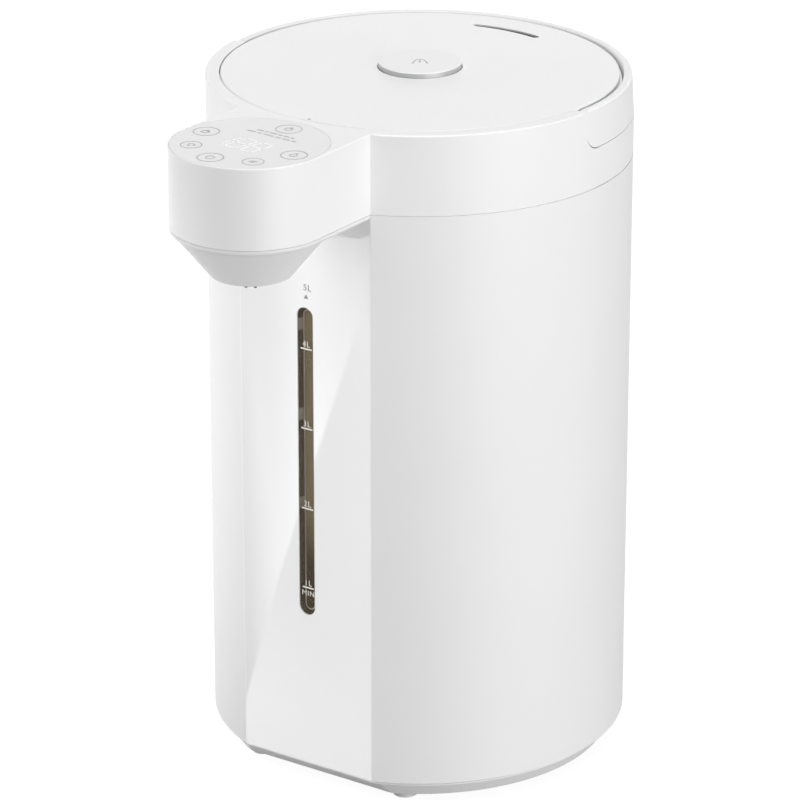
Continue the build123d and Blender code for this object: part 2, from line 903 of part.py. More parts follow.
def make_collar_ring():
    wall_inner = body_radius - collar_wall
    reveal_inner = body_radius - seam_reveal_depth
    z_web = z_seat - ledge_thickness
    z_reveal = z_seam + seam_reveal
    points = [
        (wall_inner, z_seam), (reveal_inner, z_seam), (reveal_inner, z_reveal), (body_radius, z_reveal),
        (body_radius, z_rim), (lid_bore, z_rim), (lid_bore, z_seat), (collar_bore, z_seat),
        (collar_bore, z_seal_top), (collar_inner_outer, z_seal_top), (collar_inner_outer, z_web),
        (wall_inner, z_web),
    ]
    section = make_face(Polyline(*points, close=True))
    rim_corner = section.vertices().sort_by_distance((body_radius, z_rim, 0))[0]
    ring = revolve(Plane.XZ * fillet(rim_corner, rim_round), Axis.Z)
    inner_half = nose_radius - collar_wall
    way_forward = block(-inner_half, inner_half, -body_radius, 0, z_seam, z_web)
    ring -= way_forward - disc(collar_inner_outer, z_seam, z_web)
    for x, y in collar_screw_places:
        ring += disc(boss_radius, z_frame_top, z_seat, x, y)
        ring -= disc(screw_hole, z_frame_top, z_frame_top + screw_grip + screw_clearance, x, y)
    return ring


def make_collar_head():
    head = raise_sketch(head_outline(0, -panel_back), z_seam, z_rim)
    top_edges = head.faces().sort_by(Axis.Z)[-1].outer_wire().edges().sort_by(Axis.Y)[:-1]
    head = fillet(top_edges, rim_round)
    reveal = head_outline(0, -panel_back) - head_outline(seam_reveal_depth, -panel_back)
    head -= raise_sketch(reveal, z_seam, z_seam + cowl_reveal)
    head -= raise_sketch(head_outline(collar_wall, -panel_back), z_seam, z_head_under)
    for x, y in control_posts():
        post = disc(control_post_radius, z_control_board, z_head_under, x, y - head_reach)
        head += post - disc(screw_hole, z_control_board, z_head_under, x, y - head_reach)
    outside = disc(collar_inner_outer, z_seam, z_rim)
    return head - outside


def make_handle_backing():
    """Walls that close the collar behind and below the folded handle."""
    inner = backing_radius - handle_backing_wall
    rear = block(-body_radius, body_radius, pivot_y, body_radius, z_seam, z_rim)
    shelf = tube(body_radius, inner, z_shelf - handle_backing_wall, z_shelf) & rear
    wall = tube(backing_radius, inner, z_shelf - handle_backing_wall, z_seat) & rear
    backing = shelf + wall
    shape = disc(body_radius, z_seam, z_rim) - disc(collar_inner_outer, z_seam, z_rim)
    boss_reach = pocket_radius + pivot_boss_wall
    front, back = pivot_y - boss_reach, pivot_y + boss_reach
    boss = pocket_bar(boss_reach, 0, body_radius) + block(0, body_radius, front, back, z_pocket, z_rim)
    boss &= shape
    for side in (-1, 1):
        backing += handle_side(boss, side)
    return backing


def make_handle_room():
    """The room that the handle takes up when it is folded and as it swings."""
    reach = 2 * body_radius
    outside = disc(reach, z_seam, z_rim) - disc(backing_radius, z_seam, z_rim)
    front = pivot_y - pocket_radius
    room = block(-reach, reach, pivot_y, reach, z_shelf, z_rim)
    room += block(-reach, reach, front, reach, z_pocket, z_rim)
    room += pocket_bar(pocket_radius, -reach, reach)
    room &= outside
    return room + block(-reach, reach, front, reach, z_seat, z_rim)


def make_top_collar():
    collar = make_collar_ring() + make_collar_head() + make_handle_backing()
    collar -= make_handle_room()
    collar -= disc(lid_bore, z_seat, z_rim)
    panel_seat = touch_panel_radius + touch_panel_clearance
    collar -= disc(panel_seat, z_rim - touch_panel_thickness, z_rim, 0, -head_reach)
    collar -= display_block(display_gap, z_head_under, z_rim)
    collar -= disc(collar_bore, z_seam, z_seat)
    collar -= latch_keyway()
    bore_low = backing_radius - pin_boss_depth
    for side in (-1, 1):
        collar -= handle_side(pivot_bar(pin_radius, bore_low, body_radius), side)
    return collar


def make_spout_cowl():
    plate = raise_sketch(head_outline(0, -flat_front - seam_gap), z_cowl_plate, z_seam)
    plate = fillet(plate.faces().sort_by(Axis.Z)[0].outer_wire().edges(), cowl_round)
    top_radius = nose_radius - cowl_top_inset
    cone = turned(
        [(0, z_cowl_low), (cowl_mouth_radius, z_cowl_low), (top_radius, z_cowl_plate), (0, z_cowl_plate)],
        0, -head_reach,
    )
    cone = fillet(cone.faces().sort_by(Axis.Z)[0].edges(), cowl_mouth_round)
    mouth_inner = cowl_mouth_radius - cowl_wall
    top_inner = top_radius - cowl_wall
    hollow = turned(
        [(0, z_nozzle_seat), (mouth_inner, z_nozzle_seat), (top_inner, z_seam), (0, z_seam)],
        0, -head_reach,
    )
    lip_out = collar_wall + cowl_lip_clearance
    lip_in = lip_out + cowl_lip_wall
    lip_back = -body_radius
    lip = raise_sketch(head_outline(lip_out, lip_back), z_seam, z_seam + cowl_lip_height)
    lip -= raise_sketch(head_outline(lip_in, lip_back), z_seam, z_seam + cowl_lip_height)
    cowl = plate + cone + lip - hollow
    return cowl - disc(nozzle_radius + nozzle_clearance, z_cowl_low, z_nozzle_seat, 0, -head_reach)


# Carry handle and its pins
def handle_section(inset):
    """Section of the handle, drawn in by an inset, in the plane of the axis."""
    inner, outer = handle_inner + inset, body_radius - inset
    low, high = z_handle_low + inset, z_rim - inset
    corners = [(inner, low), (outer, low), (outer - handle_lean, high), (inner, high)]
    return make_face(Polyline(*corners, close=True))


def grip_wedge(span):
    """A wedge about the axis that opens to the rear by an angle."""
    reach = 4 * body_radius
    ends = [polar(reach, grip_heading - span / 2), polar(reach, grip_heading + span / 2)]
    return raise_sketch(make_face(Polyline((0, 0), *ends, close=True)), z_handle_low, z_rim)


def tongue_room(clearance):
    """Where an arm's tongue lies in each end of the grip, grown by a clearance."""
    length = tongue_length + clearance
    ring = revolve(Plane.XZ * handle_section(tongue_inset - clearance), Axis.Z)
    ends = grip_wedge(grip_span) - grip_wedge(grip_span - 2 * math.degrees(length / body_radius))
    return ring & ends


def make_handle_bow():
    section = handle_section(0)
    top_corners = section.vertices().sort_by(Axis.Y)[-2:]
    strip = revolve(Plane.XZ * fillet(top_corners, handle_top_round), Axis.Z)
    front = pivot_y - lug_reach
    far = 2 * body_radius
    corners = [(front, z_handle_low), (far, z_handle_low), (far, z_rim), (front, z_rim)]
    outline = make_face(Polyline(*corners, close=True))
    low_corner = outline.vertices().sort_by_distance((front, z_handle_low, 0))[0]
    outline = fillet(low_corner, lug_low_round)
    top_corner = outline.vertices().sort_by_distance((front, z_rim, 0))[0]
    outline = fillet(top_corner, lug_top_round)
    return strip & extrude(Plane.YZ * outline, far, both=True)


def make_handle_arms():
    arms = make_handle_bow() - grip_wedge(grip_span) + tongue_room(0)
    bore_end = handle_inner + pin_lug_depth
    for side in (-1, 1):
        arms -= handle_side(pivot_bar(pin_radius + pin_clearance, 0, bore_end), side)
    return group(arms.solids())


def make_handle_grip():
    grip = make_handle_bow() & grip_wedge(grip_span)
    return grip - tongue_room(tongue_clearance)


def make_handle_pins():
    low = backing_radius - pin_boss_depth
    high = handle_inner + pin_lug_depth - side_clearance
    return group(handle_side(pivot_bar(pin_radius, low, high), side) for side in (-1, 1))


# Lid with its latches and release button
lid_screw_places = [polar(lid_screw_circle, angle) for angle in lid_screw_angles]
z_lid_thread = lid_surface(lid_screw_circle) - lid_wall


def make_lid_cover():
    under = lid_radius - lid_skirt
    tube_outer = button_hole + button_tube_wall
    edge = lid_radius - lid_edge_round
    z_edge = lid_surface(lid_radius)
    slope = math.radians(45)
    round_mid = (edge + lid_edge_round * math.sin(slope), z_edge - lid_edge_round * (1 - math.cos(slope)))
    middle = (button_hole + edge) / 2
    under_middle = (tube_outer + under) / 2
    outline = [
        ThreePointArc((button_hole, lid_surface(button_hole)), (middle, lid_surface(middle)), (edge, z_edge)),
        ThreePointArc((edge, z_edge), round_mid, (lid_radius, z_edge - lid_edge_round)),
        Polyline((lid_radius, z_edge - lid_edge_round), (lid_radius, z_seat), (under, z_seat),
                 (under, lid_surface(under) - lid_wall)),
        ThreePointArc((under, lid_surface(under) - lid_wall),
                      (under_middle, lid_surface(under_middle) - lid_wall),
                      (tube_outer, lid_surface(tube_outer) - lid_wall)),
        Polyline((tube_outer, lid_surface(tube_outer) - lid_wall), (tube_outer, z_button_skirt),
                 (button_hole, z_button_skirt), (button_hole, lid_surface(button_hole))),
    ]
    cover = revolve(Plane.XZ * make_face(outline), Axis.Z)
    rib_top = lid_surface(lid_body_radius) - lid_wall / 2
    cover += tube(lid_body_radius, lid_body_bore, z_seat, rib_top)
    for x, y in lid_screw_places:
        cover += disc(lid_post_radius, z_seat, z_lid_thread + lid_wall / 2, x, y)
        cover -= disc(screw_hole, z_seat, z_lid_thread, x, y)
    return cover - arc_bar(steam_slot_width, z_seat, z_rim + 2 * lid_rise)


def make_latch_rails():
    half = latch_width / 2 + latch_clearance
    inner = half + rail_wall - rail_width
    rail_end = lid_body_bore + lid_body_wall / 2
    low = block(inner, half + rail_wall, rail_start, rail_end, z_lid_low, z_latch_low)
    high = block(half, half + rail_wall, rail_start, rail_end, z_lid_low, z_latch_top)
    inside = disc(lid_plug_radius, z_lid_low, z_lid_step) + disc(lid_body_radius, z_lid_step, z_seat)
    rail = (low + high) & inside
    pair = rail + mirror(rail, Plane.YZ)
    return pair + mirror(pair, Plane.XZ)


def make_lid_body():
    body = disc(lid_body_radius, z_lid_step, z_seat) + disc(lid_plug_radius, z_lid_low, z_lid_step)
    body -= disc(lid_body_bore, z_lid_step + lid_body_wall, z_seat)
    body -= disc(lid_plug_radius - lid_body_wall, z_lid_floor, z_seat)
    guide_bore = stem_radius + stem_clearance
    body += tube(guide_bore + guide_wall, guide_bore, z_lid_floor, z_guide_top)
    body += make_latch_rails()
    half = latch_width / 2 + latch_clearance
    window_low = z_latch_low
    window_high = z_latch_top + latch_clearance
    body -= block(-half, half, -lid_body_radius, lid_body_radius, window_low, window_high)
    for x, y in lid_screw_places:
        body += disc(lid_post_radius, z_lid_low, z_seat, x, y)
        body -= disc(screw_hole, z_lid_low, z_seat, x, y)
        body -= disc(head_hole, z_lid_low, z_lid_low + screw_head_height, x, y)
    for angle in steam_hole_angles:
        x, y = polar(steam_hole_circle, angle)
        body -= disc(steam_hole_radius, z_lid_low, z_lid_floor, x, y)
    return body


def make_lid_screws():
    face = z_lid_low + screw_head_height
    length = z_lid_thread - lid_wall / 2 - face
    return group(screw_from_below(x, y, face, length) for x, y in lid_screw_places)


def make_lid_inner_plate():
    plate = disc(lid_plate_radius, z_lid_low - lid_plate_thickness, z_lid_low)
    for angle in steam_hole_angles:
        x, y = polar(steam_hole_circle, angle)
        plate -= disc(steam_hole_radius, z_lid_low - lid_plate_thickness, z_lid_low, x, y)
    return plate


def make_lid_seal():
    return tube(neck_inner - lid_seal_gap, lid_plug_radius + seam_gap, z_lid_low, z_lid_low + lid_seal_height)


def make_steam_vent():
    flange_top = lid_surface(steam_slot_radius + steam_flange_width) - lid_wall - side_clearance
    width = steam_slot_width - 2 * lens_clearance
    bar_top = lid_surface(steam_slot_radius) - steam_recess
    vent = arc_bar(steam_flange_width, flange_top - steam_flange_height, flange_top)
    vent += arc_bar(width, flange_top, bar_top)
    return vent - arc_bar(width - 2 * steam_wall, flange_top - steam_flange_height, bar_top)


def finger_outline(gap):
    """Slanted finger, as (distance, height) points, grown sideways by a gap."""
    inner, outer = finger_inner - gap, finger_inner + finger_thickness + gap
    drop = z_button_skirt - z_latch_low + finger_overrun
    z_foot = z_button_skirt - drop
    return [(inner, z_button_under), (outer, z_button_under), (outer, z_button_skirt), (outer + drop, z_foot),
            (inner + drop, z_foot), (inner, z_button_skirt)]


def make_lid_button():
    cap = disc(button_radius, z_button_skirt, z_button_top)
    cap = fillet(cap.faces().sort_by(Axis.Z)[-1].edges(), button_edge_round)
    cap -= disc(button_radius - button_wall, z_button_skirt, z_button_under)
    stem_low = z_lid_floor + button_stroke + finger_overrun
    cap += disc(stem_radius, stem_low, z_button_under)
    finger = side_prism(finger_outline(0.0), finger_width / 2)
    return cap + finger + mirror(finger, Plane.XZ)


def make_button_spring():
    radius = spring_radius
    pitch = (z_button_under - z_guide_top - 2 * spring_wire - 2 * side_clearance) / spring_turns
    path = Pos(0, 0, z_guide_top + spring_wire + side_clearance) * Helix(pitch, pitch * spring_turns, radius)
    start = Plane(origin=path @ 0, z_dir=path % 0)
    return sweep(start * Circle(spring_wire), path, is_frenet=True)


def make_latch(rear):
    half = latch_width / 2
    latch = block(-half, half, latch_inner, latch_tip, z_latch_low, z_latch_top)
    tip_edge = latch.edges().filter_by(Axis.X).group_by(Axis.Y)[-1].sort_by(Axis.Z)[0]
    latch = chamfer(tip_edge, latch_tip_chamfer)
    gap = latch_clearance * math.sqrt(2)
    latch -= side_prism(finger_outline(gap), finger_width / 2 + latch_clearance)
    return latch if rear else mirror(latch, Plane.XZ)


makers = {
    "rubber_feet": make_rubber_feet,
    "base_cover": make_base_cover,
    "base_screws": make_base_screws,
    "outer_shell": make_outer_shell,
    "front_panel": make_front_panel,
    "level_window": make_level_window,
    "level_tube": make_level_tube,
    "inner_pot": make_inner_pot,
    "pot_floor": make_pot_floor,
    "pot_seal": make_pot_seal,
    "insulation_jacket": make_insulation_jacket,
    "upper_frame": make_upper_frame,
    "tie_rods": make_tie_rods,
    "frame_screws": make_frame_screws,
    "collar_screws": make_collar_screws,
    "heater_plate": make_heater_plate,
    "temperature_sensor": make_temperature_sensor,
    "thermal_cutout": make_thermal_cutout,
    "pump_motor": make_pump_motor,
    "pump_housing": make_pump_housing,
    "pump_cover": make_pump_cover,
    "pump_impeller": make_pump_impeller,
    "suction_hose": make_suction_hose,
    "delivery_hose": make_delivery_hose,
    "outlet_hose": make_outlet_hose,
    "power_board": make_power_board,
    "board_parts": make_board_parts,
    "board_screws": make_board_screws,
    "power_inlet": make_power_inlet,
    "inlet_pins": make_inlet_pins,
    "wire_loom": make_wire_loom,
    "top_collar": make_top_collar,
    "touch_panel": make_touch_panel,
    "display_module": make_display_module,
    "control_board": make_control_board,
    "control_screws": make_control_screws,
    "spout_cowl": make_spout_cowl,
    "spout_nozzle": make_spout_nozzle,
    "handle_arms": make_handle_arms,
    "handle_grip": make_handle_grip,
    "handle_pins": make_handle_pins,
    "lid_cover": make_lid_cover,
    "lid_body": make_lid_body,
    "lid_screws": make_lid_screws,
    "lid_inner_plate": make_lid_inner_plate,
    "lid_seal": make_lid_seal,
    "steam_vent": make_steam_vent,
    "lid_button": make_lid_button,
    "button_spring": make_button_spring,
    "latch_front": lambda: make_latch(rear=False),
    "latch_rear": lambda: make_latch(rear=True),
}

os.makedirs("parts", exist_ok=True)
for name, maker in makers.items():
    write(name, maker())
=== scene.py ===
import json
import math

import bmesh
import bpy
from mathutils import Matrix, Vector


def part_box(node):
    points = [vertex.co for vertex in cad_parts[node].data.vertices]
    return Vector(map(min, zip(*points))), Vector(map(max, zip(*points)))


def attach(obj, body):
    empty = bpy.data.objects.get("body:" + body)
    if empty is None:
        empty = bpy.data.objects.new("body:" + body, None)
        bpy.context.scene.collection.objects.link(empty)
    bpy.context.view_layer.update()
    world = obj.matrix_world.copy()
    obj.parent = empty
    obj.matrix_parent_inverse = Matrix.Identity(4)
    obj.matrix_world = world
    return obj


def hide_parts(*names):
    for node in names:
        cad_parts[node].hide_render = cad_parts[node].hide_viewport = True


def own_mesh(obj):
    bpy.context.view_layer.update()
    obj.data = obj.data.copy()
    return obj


# Looks of the hot water dispenser.
# Metres, +Z up, front towards -Y, origin on the floor under the body's axis.
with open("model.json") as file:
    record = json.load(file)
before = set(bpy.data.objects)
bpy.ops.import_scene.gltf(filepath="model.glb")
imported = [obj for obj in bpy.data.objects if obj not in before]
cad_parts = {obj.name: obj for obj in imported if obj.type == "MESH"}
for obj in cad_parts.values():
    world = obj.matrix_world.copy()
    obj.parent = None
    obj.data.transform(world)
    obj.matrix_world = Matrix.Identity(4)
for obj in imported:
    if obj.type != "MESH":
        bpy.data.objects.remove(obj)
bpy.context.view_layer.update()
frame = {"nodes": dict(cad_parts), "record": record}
nodes = frame["nodes"]
mm = 0.001

# Camera
camera_place = (1.20252, -1.76045, 1.01281)
camera_target = (0.0, -0.01713, 0.18178)
camera_lens = 204.87
camera_sensor = 36.0

# Floor, sky and the cards that the gloss panel mirrors
floor_half_width = 6.0
floor_tone = 0.14
floor_roughness = 0.9
floor_glow = 0.93
sky_light = 0.115
card_edge = (
    (-50.0 * mm, -98.0 * mm), (-85.0 * mm, -160.0 * mm), (-165.3 * mm, -300.8 * mm),
    (-246.5 * mm, -447.2 * mm), (-363.3 * mm, -661.3 * mm), (-450.0 * mm, -820.0 * mm),
)
left_card_height = 1.5 * mm
left_card_run = (-0.43, -0.57)
left_edge_glow = (0.2, 0.2, 2.6, 3.8, 2.5, 1.5)
left_outer_glow = (0.0, 0.0, 0.0, 0.6, 1.2, 1.2)
front_card_height = 1.0 * mm
front_card_run = (0.09, 0.0)
front_edge_glow = (2.2, 2.2, 1.4, 1.8, 2.2, 2.2)
front_outer_glow = (3.1, 3.1, 3.1, 3.1, 3.1, 3.1)

# Softboxes: azimuth and elevation in degrees, distance, width, height, power in watts
softboxes = {
    "left_softbox": (-42.0, 1.0, 0.43, 0.20, 0.46, 1.27),
    "right_softbox": (71.0, 7.0, 2.2, 1.4, 1.4, 49.0),
    "top_softbox": (0.0, 88.0, 2.4, 1.8, 1.8, 39.0),
    "rear_softbox": (214.0, 5.0, 2.2, 1.0, 1.0, 36.0),
}
softboxes_not_mirrored = ("left_softbox", "rear_softbox")
softbox_target = (0.0, 0.0, 0.2)

# Colours of what shows
white_shell = (0.840, 0.840, 0.840)
white_panel = (0.880, 0.880, 0.880)
# Painted highlight: the beads' paler white along the panel's edges
bead_white_painted_highlight = (0.920, 0.920, 0.920)
white_collar = (0.860, 0.860, 0.860)
# Painted shade: the cowl's white, a little darker than the collar's
cowl_white_painted_shade = (0.850, 0.850, 0.850)
white_lid = (0.880, 0.880, 0.880)
white_button = (0.850, 0.850, 0.850)
# Painted shade: the darker grey of the button's upright sides
button_side_painted_shade = (0.480, 0.480, 0.490)
white_handle = (0.850, 0.850, 0.850)
grey_base = (0.820, 0.820, 0.820)
grey_touch = (0.750, 0.750, 0.750)
grey_foot = (0.700, 0.700, 0.700)
chrome_nozzle = (0.820, 0.820, 0.830)
pane_brown = (0.100, 0.075, 0.045)
# The tray's floor and wall colours paint light and shade, darker towards the bottom and lighter towards
# the top
tray_floor_painted_light = (0.330, 0.258, 0.152)
tray_floor_painted_shade = (0.085, 0.056, 0.030)
tray_wall_painted_light = (0.085, 0.062, 0.040)
tray_wall_painted_shade = (0.085, 0.066, 0.045)
# Painted reflection: the lighter bands on the tray's wall, at the litre marks' heights
tray_wall_painted_reflection = (0.300, 0.265, 0.215)
# Painted highlight: the bright ring round the tray's floor, the lit back edge of the lens
tray_painted_highlight = (0.820, 0.740, 0.610)
ink_cream = (0.920, 0.890, 0.820)
ink_white = (0.950, 0.950, 0.950)
ink_grey = (0.280, 0.280, 0.280)
ink_pale = (0.380, 0.380, 0.380)

# Colours of what is inside
glass_tube = (0.90, 0.92, 0.92)
pot_steel = (0.74, 0.74, 0.75)
zinc_grey = (0.66, 0.67, 0.69)
silicone_milky = (0.84, 0.84, 0.82)
plastic_dark = (0.045, 0.045, 0.048)
plastic_frame = (0.78, 0.78, 0.77)
felt_jacket = (0.70, 0.69, 0.66)
aluminium_heater = (0.72, 0.72, 0.73)
steel_motor = (0.55, 0.56, 0.58)
brass_sensor = (0.78, 0.63, 0.32)
green_board = (0.07, 0.28, 0.15)
black_component = (0.10, 0.10, 0.10)
grey_wire = (0.30, 0.30, 0.31)

# Surface detail
ramp_ends = (0.3, 0.7)
cloud_scale = 16.0
cloud_roughness = (0.92, 1.08)
grain_strength = 0.12
grain_detail = 3.0
gloss_grain_depth = 0.004 * mm
gloss_grain_scale = 300.0
gloss_variation = 0.992
coat_roughness = 0.01
brush_scale = 220.0
brush_detail = 4.0
brush_shade = 0.93
brush_roughness = (0.8, 1.25)
brush_strength = 0.1
along_z = (1.0, 1.0, 14.0)
all_ways = (1.0, 1.0, 1.0)
clear_bending = 1.42
clear_cloud_scale = 40.0
clear_shade = 0.95
clear_roughness = (0.8, 1.2)
felt_roughness = 0.95
felt_scale = 700.0
felt_detail = 6.0
felt_lay = (1.0, 1.0, 0.35)
felt_shade = 0.7
felt_strength = 0.8
felt_depth = 0.4 * mm
upright_ends = (0.25, 0.05)
side_metallic = 0.6
ink_scale = 900.0
ink_shade = 0.94
ink_roughness = (0.38, 0.5)
pane_alpha = 0.12
pane_specular = 0.3
pane_cloud_scale = 30.0
pane_shade = 0.9
pane_roughness = (0.04, 0.07)
tray_specular = 0.12
tray_cloud_scale = 60.0
tray_roughness = (0.3, 0.42)
cowl_roughness = 0.70
cowl_specular = 0.2
bead_roughness = 0.35

# Level window
pane_thickness = 0.5 * mm
pane_bevel = 0.2 * mm
tray_rim = 0.35 * mm
tray_slope = 1.3 * mm
tray_depth = 2.1 * mm
tray_highlight_width = 0.65 * mm
tray_floor_heights = (96.0 * mm, 172.0 * mm)
tray_wall_heights = (90.0 * mm, 262.0 * mm)
band_low = 149.6 * mm
band_pitch = 46.6 * mm
band_height = 6.2 * mm
lens_flange_thickness = 0.8 * mm
lens_flange_width = 3.1 * mm
slot_segments = 48

# Beads along the panel's upright edges
bead_size = 0.5 * mm
bead_recess = 0.02 * mm
bead_bevel = 0.12 * mm

# Printed marks of the window and the panel
ink_thickness = 0.06 * mm
litre_heights = (108.6 * mm, 150.7 * mm, 192.8 * mm, 234.2 * mm)
mark_middle = 0.5 * mm
mark_length = 6.6 * mm
mark_width = 0.8 * mm
letter_spacing = 1.15
litre_text = 4.2 * mm
litre_text_rise = 1.1 * mm
least_text = 3.9 * mm
least_text_drop = 4.3 * mm
full_text_place = (1.5 * mm, 264.3 * mm)
full_text = 4.6 * mm
full_arrow_place = (0.8 * mm, 260.9 * mm)
full_arrow_radius = 1.5294 * mm

# Printed marks of the touch panel
key_circle = 27.4 * mm
key_turn = -5.5
key_angles = (-90, -45, 0, 45, 90, 180)
key_radii = (6.2 * mm, 5.0 * mm, 6.2 * mm, 5.0 * mm, 6.2 * mm, 6.2 * mm)
key_line = 0.55 * mm
key_steps = 64
glyph_share = 0.5
glyph_line = 0.6 * mm
digit_middle = (-3.2 * mm, -2.6 * mm)
digit_turn = -7.0
digit_slant = 0.12
digit_width = 7.0 * mm
digit_height = 14.3 * mm
digit_pitch = 9.7 * mm
digit_line = 1.2 * mm
digit_bar_gap = 0.72 * mm
note_turn = -3.5
note_lines = ((-12.4 * mm, 15.3 * mm, 29.1 * mm), (-9.0 * mm, 18.6 * mm, 21.9 * mm))
note_words = (0.16, 0.07, 0.20, 0.10, 0.14, 0.08)
note_gap = 0.05
note_height = 1.0 * mm

# Marks of the lid and its button
lid_icon_width = 7.4 * mm
lid_icon_turn = 34.6
lid_icon_line = 0.55 * mm
lid_dot_place = (1.8 * mm, -95.3 * mm)
lid_dot_radius = 0.8 * mm
lid_dot_segments = 24

# Spout tip
# Dark lugs that stand for the chrome tip's dark reflections: painted reflection
tip_lug_count = 6
tip_lug_width = 1.4 * mm
tip_lug_height = 2.5 * mm
tip_lug_inner = 2.3 * mm
tip_lug_bevel = 0.15 * mm
tip_radius = 4.6 * mm

# Button spring
spring_wire = 0.5 * mm
spring_turns = 6
spring_turn_steps = 36
spring_section = 10


# Materials
def start_material(name):
    material = bpy.data.materials.new(name)
    material.use_nodes = True
    tree = material.node_tree
    return material, tree, tree.nodes["Principled BSDF"]


def surface_noise(tree, scale, detail=2.0, stretch=all_ways):
    """Noise on the piece's own coordinates, in features per metre."""
    coordinates = tree.nodes.new("ShaderNodeTexCoord")
    mapping = tree.nodes.new("ShaderNodeMapping")
    mapping.inputs["Scale"].default_value = stretch
    noise = tree.nodes.new("ShaderNodeTexNoise")
    noise.inputs["Scale"].default_value = scale
    noise.inputs["Detail"].default_value = detail
    tree.links.new(coordinates.outputs["Object"], mapping.inputs["Vector"])
    tree.links.new(mapping.outputs["Vector"], noise.inputs["Vector"])
    return noise.outputs["Fac"]


def height_on_body(tree):
    coordinates = tree.nodes.new("ShaderNodeTexCoord")
    split = tree.nodes.new("ShaderNodeSeparateXYZ")
    tree.links.new(coordinates.outputs["Object"], split.inputs["Vector"])
    return split.outputs["Z"]


def calculate(tree, operation, *sources):
    """A Math node on sockets and plain numbers."""
    node = tree.nodes.new("ShaderNodeMath")
    node.operation = operation
    for socket, source in zip(node.inputs, sources):
        if isinstance(source, float):
            socket.default_value = source
        else:
            tree.links.new(source, socket)
    return node.outputs["Value"]


def spread_range(tree, source, ends):
    """Runs from nought at the first end to one at the second."""
    spread = tree.nodes.new("ShaderNodeMapRange")
    spread.inputs["From Min"].default_value = ends[0]
    spread.inputs["From Max"].default_value = ends[1]
    tree.links.new(source, spread.inputs["Value"])
    return spread.outputs["Result"]


def vary_colour(tree, source, low, high, socket):
    ramp = tree.nodes.new("ShaderNodeValToRGB")
    for element, position, colour in zip(ramp.color_ramp.elements, ramp_ends, (low, high)):
        element.position = position
        element.color = (*colour, 1.0)
    tree.links.new(source, ramp.inputs["Fac"])
    tree.links.new(ramp.outputs["Color"], socket)


def vary_value(tree, source, low, high, socket):
    spread = tree.nodes.new("ShaderNodeMapRange")
    spread.inputs["To Min"].default_value = low
    spread.inputs["To Max"].default_value = high
    tree.links.new(source, spread.inputs["Value"])
    tree.links.new(spread.outputs["Result"], socket)


def vary_roughness(tree, source, roughness, shares, shader):
    low, high = (roughness * share for share in shares)
    vary_value(tree, source, low, high, shader.inputs["Roughness"])


def tint_where(tree, source, colour, shader):
    """Lays a second colour over the base colour where the source is one."""
    tint = tree.nodes.new("ShaderNodeMix")
    tint.data_type = "RGBA"
    tint.inputs["B"].default_value = (*colour, 1.0)
    plain = shader.inputs["Base Color"].links[0].from_socket
    tree.links.new(source, tint.inputs["Factor"])
    tree.links.new(plain, tint.inputs["A"])
    tree.links.new(tint.outputs["Result"], shader.inputs["Base Color"])


def raise_grain(tree, source, strength, distance, shader):
    bump = tree.nodes.new("ShaderNodeBump")
    bump.inputs["Strength"].default_value = strength
    bump.inputs["Distance"].default_value = distance
    tree.links.new(source, bump.inputs["Height"])
    tree.links.new(bump.outputs["Normal"], shader.inputs["Normal"])


def shaded(colour, share):
    return tuple(channel * share for channel in colour)


def moulded_plastic(name, colour, roughness, grain_depth=0.02 * mm, grain_scale=1500.0, variation=0.985):
    material, tree, shader = start_material(name)
    cloud = surface_noise(tree, cloud_scale)
    vary_colour(tree, cloud, shaded(colour, variation), colour, shader.inputs["Base Color"])
    vary_roughness(tree, cloud, roughness, cloud_roughness, shader)
    grain = surface_noise(tree, grain_scale, grain_detail)
    raise_grain(tree, grain, grain_strength, grain_depth, shader)
    return material


def gloss_plastic(name, colour, roughness):
    grain = (gloss_grain_depth, gloss_grain_scale)
    material = moulded_plastic(name, colour, roughness, *grain, gloss_variation)
    shader = material.node_tree.nodes["Principled BSDF"]
    shader.inputs["Coat Weight"].default_value = 1.0
    shader.inputs["Coat Roughness"].default_value = coat_roughness
    return material


def metal(name, colour, roughness, stretch=along_z, brush_depth=0.01 * mm):
    material, tree, shader = start_material(name)
    shader.inputs["Metallic"].default_value = 1.0
    brush = surface_noise(tree, brush_scale, brush_detail, stretch)
    vary_colour(tree, brush, shaded(colour, brush_shade), colour, shader.inputs["Base Color"])
    vary_roughness(tree, brush, roughness, brush_roughness, shader)
    raise_grain(tree, brush, brush_strength, brush_depth, shader)
    return material


def clear_plastic(name, colour, roughness, transmission):
    material, tree, shader = start_material(name)
    shader.inputs["Transmission Weight"].default_value = transmission
    shader.inputs["IOR"].default_value = clear_bending
    cloud = surface_noise(tree, clear_cloud_scale)
    vary_colour(tree, cloud, shaded(colour, clear_shade), colour, shader.inputs["Base Color"])
    vary_roughness(tree, cloud, roughness, clear_roughness, shader)
    return material


def felt_cloth(name, colour):
    material, tree, shader = start_material(name)
    shader.inputs["Roughness"].default_value = felt_roughness
    fibres = surface_noise(tree, felt_scale, felt_detail, felt_lay)
    vary_colour(tree, fibres, shaded(colour, felt_shade), colour, shader.inputs["Base Color"])
    raise_grain(tree, fibres, felt_strength, felt_depth, shader)
    return material


